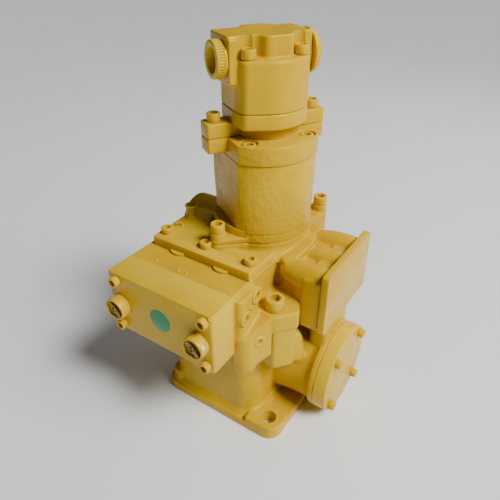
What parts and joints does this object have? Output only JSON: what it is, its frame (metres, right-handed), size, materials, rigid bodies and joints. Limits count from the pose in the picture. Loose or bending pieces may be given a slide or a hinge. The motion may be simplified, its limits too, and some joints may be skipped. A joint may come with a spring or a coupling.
{
  "type": "hydraulic piston pump",
  "caption": "Axial piston pump with flanged cast body, front control block, side port plate and round cover, and gear pumps stacked on its through drive.",
  "frame": {"origin": "drive shaft axis in the plane of the mounting face, 2 mm under the shaft's end face", "axes": "+Z along the shaft towards the stacked gear pumps, +X towards the port plate and the round cover, -Y towards the control block"},
  "size_m": [0.2871, 0.3256, 0.5097],
  "materials": {
    "yellow_paint": "glossy enamel over cast iron, orange-peel texture",
    "steel": "ground",
    "dark_steel": "hardened and lapped",
    "bronze": "lapped",
    "rubber": "moulded"
  },
  "bodies": {
    "casing": {"pump_housing": "yellow_paint", "port_block": "yellow_paint", "round_cover": "yellow_paint", "round_cover_screw_1": "yellow_paint", "round_cover_screw_2": "yellow_paint", "round_cover_screw_3": "yellow_paint", "round_cover_screw_4": "yellow_paint", "port_cover_plate": "yellow_paint", "control_block": "yellow_paint", "control_block_screw_1": "yellow_paint", "control_block_screw_2": "yellow_paint", "control_block_screw_3": "yellow_paint", "control_block_screw_4": "yellow_paint", "adjuster_cap_left": "yellow_paint", "adjuster_cap_right": "yellow_paint", "top_plate": "yellow_paint", "top_plate_screw_1": "yellow_paint", "top_plate_screw_2": "yellow_paint", "top_plate_screw_3": "yellow_paint", "case_drain_plug": "yellow_paint", "joint_bolt_front": "yellow_paint", "joint_bolt_back": "yellow_paint", "mid_pump_body": "yellow_paint", "mid_pump_cover": "yellow_paint", "mid_pump_bolt_left": "yellow_paint", "mid_pump_bolt_right": "yellow_paint", "mid_cover_bolt_1": "yellow_paint", "mid_cover_bolt_2": "yellow_paint", "gear_pump_flange": "yellow_paint", "gear_pump_body": "yellow_paint", "gear_pump_bolt_left": "yellow_paint", "gear_pump_bolt_right": "yellow_paint", "gear_body_bolt_left": "yellow_paint", "gear_body_bolt_right": "yellow_paint", "port_collar_left": "yellow_paint", "port_cap_right": "yellow_paint", "shaft_seal": "rubber", "front_bearing": "steel", "rear_bearing": "steel", "valve_plate": "bronze"},
    "rotor": {"drive_shaft": "steel", "cylinder_barrel": "steel", "retainer_plate": "bronze", "mid_drive_gear": "steel", "top_drive_gear": "steel"},
    "swash": {"swashplate": "dark_steel"},
    "servo": {"servo_piston": "steel"},
    "mid_idler": {"mid_idler_gear": "steel"},
    "top_idler": {"top_idler_gear": "steel"},
    "spool_left": {"control_spool_left": "steel"},
    "spool_right": {"control_spool_right": "steel"},
    "piston_body_1": {"piston_1": "steel"},
    "piston_body_2": {"piston_2": "steel"},
    "piston_body_3": {"piston_3": "steel"},
    "piston_body_4": {"piston_4": "steel"},
    "piston_body_5": {"piston_5": "steel"},
    "piston_body_6": {"piston_6": "steel"},
    "piston_body_7": {"piston_7": "steel"},
    "piston_body_8": {"piston_8": "steel"},
    "piston_body_9": {"piston_9": "steel"}
  },
  "joints": [
    {"name": "shaft_spin", "type": "hinge", "parent": "casing", "child": "rotor", "pos_m": [0, 0, 0], "axis": [0, 0, 1], "continuous": true},
    {"name": "mid_idler_spin", "type": "hinge", "parent": "casing", "child": "mid_idler", "pos_m": [-0.02057, 0.02451, 0], "axis": [0, 0, 1], "continuous": true},
    {"name": "top_idler_spin", "type": "hinge", "parent": "casing", "child": "top_idler", "pos_m": [0.02375, -0.01484, 0], "axis": [0, 0, 1], "continuous": true},
    {"name": "swash_tilt", "type": "hinge", "parent": "casing", "child": "swash", "pos_m": [0, 0.041, 0.08], "axis": [1, 0, 0], "range_deg": [0, 15], "stiffness_Nm_per_rad": 10, "springref_deg": -17.19},
    {"name": "servo_slide", "type": "slide", "parent": "casing", "child": "servo", "axis": [0, 0, -1], "range_m": [0, 0.0258]},
    {"name": "spool_left_slide", "type": "slide", "parent": "casing", "child": "spool_left", "axis": [0, 1, 0], "range_m": [-0.003, 0.003], "stiffness_N_per_m": 500},
    {"name": "spool_right_slide", "type": "slide", "parent": "casing", "child": "spool_right", "axis": [0, 1, 0], "range_m": [-0.003, 0.003], "stiffness_N_per_m": 500},
    {"name": "piston_slide_1", "type": "slide", "parent": "rotor", "child": "piston_body_1", "axis": [0, 0, 1], "range_m": [0, 0.0195]},
    {"name": "piston_slide_2", "type": "slide", "parent": "rotor", "child": "piston_body_2", "axis": [0, 0, 1], "range_m": [0, 0.0195]},
    {"name": "piston_slide_3", "type": "slide", "parent": "rotor", "child": "piston_body_3", "axis": [0, 0, 1], "range_m": [0, 0.0195]},
    {"name": "piston_slide_4", "type": "slide", "parent": "rotor", "child": "piston_body_4", "axis": [0, 0, 1], "range_m": [0, 0.0195]},
    {"name": "piston_slide_5", "type": "slide", "parent": "rotor", "child": "piston_body_5", "axis": [0, 0, 1], "range_m": [0, 0.0195]},
    {"name": "piston_slide_6", "type": "slide", "parent": "rotor", "child": "piston_body_6", "axis": [0, 0, 1], "range_m": [0, 0.0195]},
    {"name": "piston_slide_7", "type": "slide", "parent": "rotor", "child": "piston_body_7", "axis": [0, 0, 1], "range_m": [0, 0.0195]},
    {"name": "piston_slide_8", "type": "slide", "parent": "rotor", "child": "piston_body_8", "axis": [0, 0, 1], "range_m": [0, 0.0195]},
    {"name": "piston_slide_9", "type": "slide", "parent": "rotor", "child": "piston_body_9", "axis": [0, 0, 1], "range_m": [0, 0.0195]}
  ],
  "couplings": [
    {"joint": "mid_idler_spin", "follows": "shaft_spin", "ratio": -1},
    {"joint": "top_idler_spin", "follows": "shaft_spin", "ratio": -1},
    {"joint": "servo_slide", "follows": "swash_tilt", "m_per_rad": 0.0985}
  ]
}
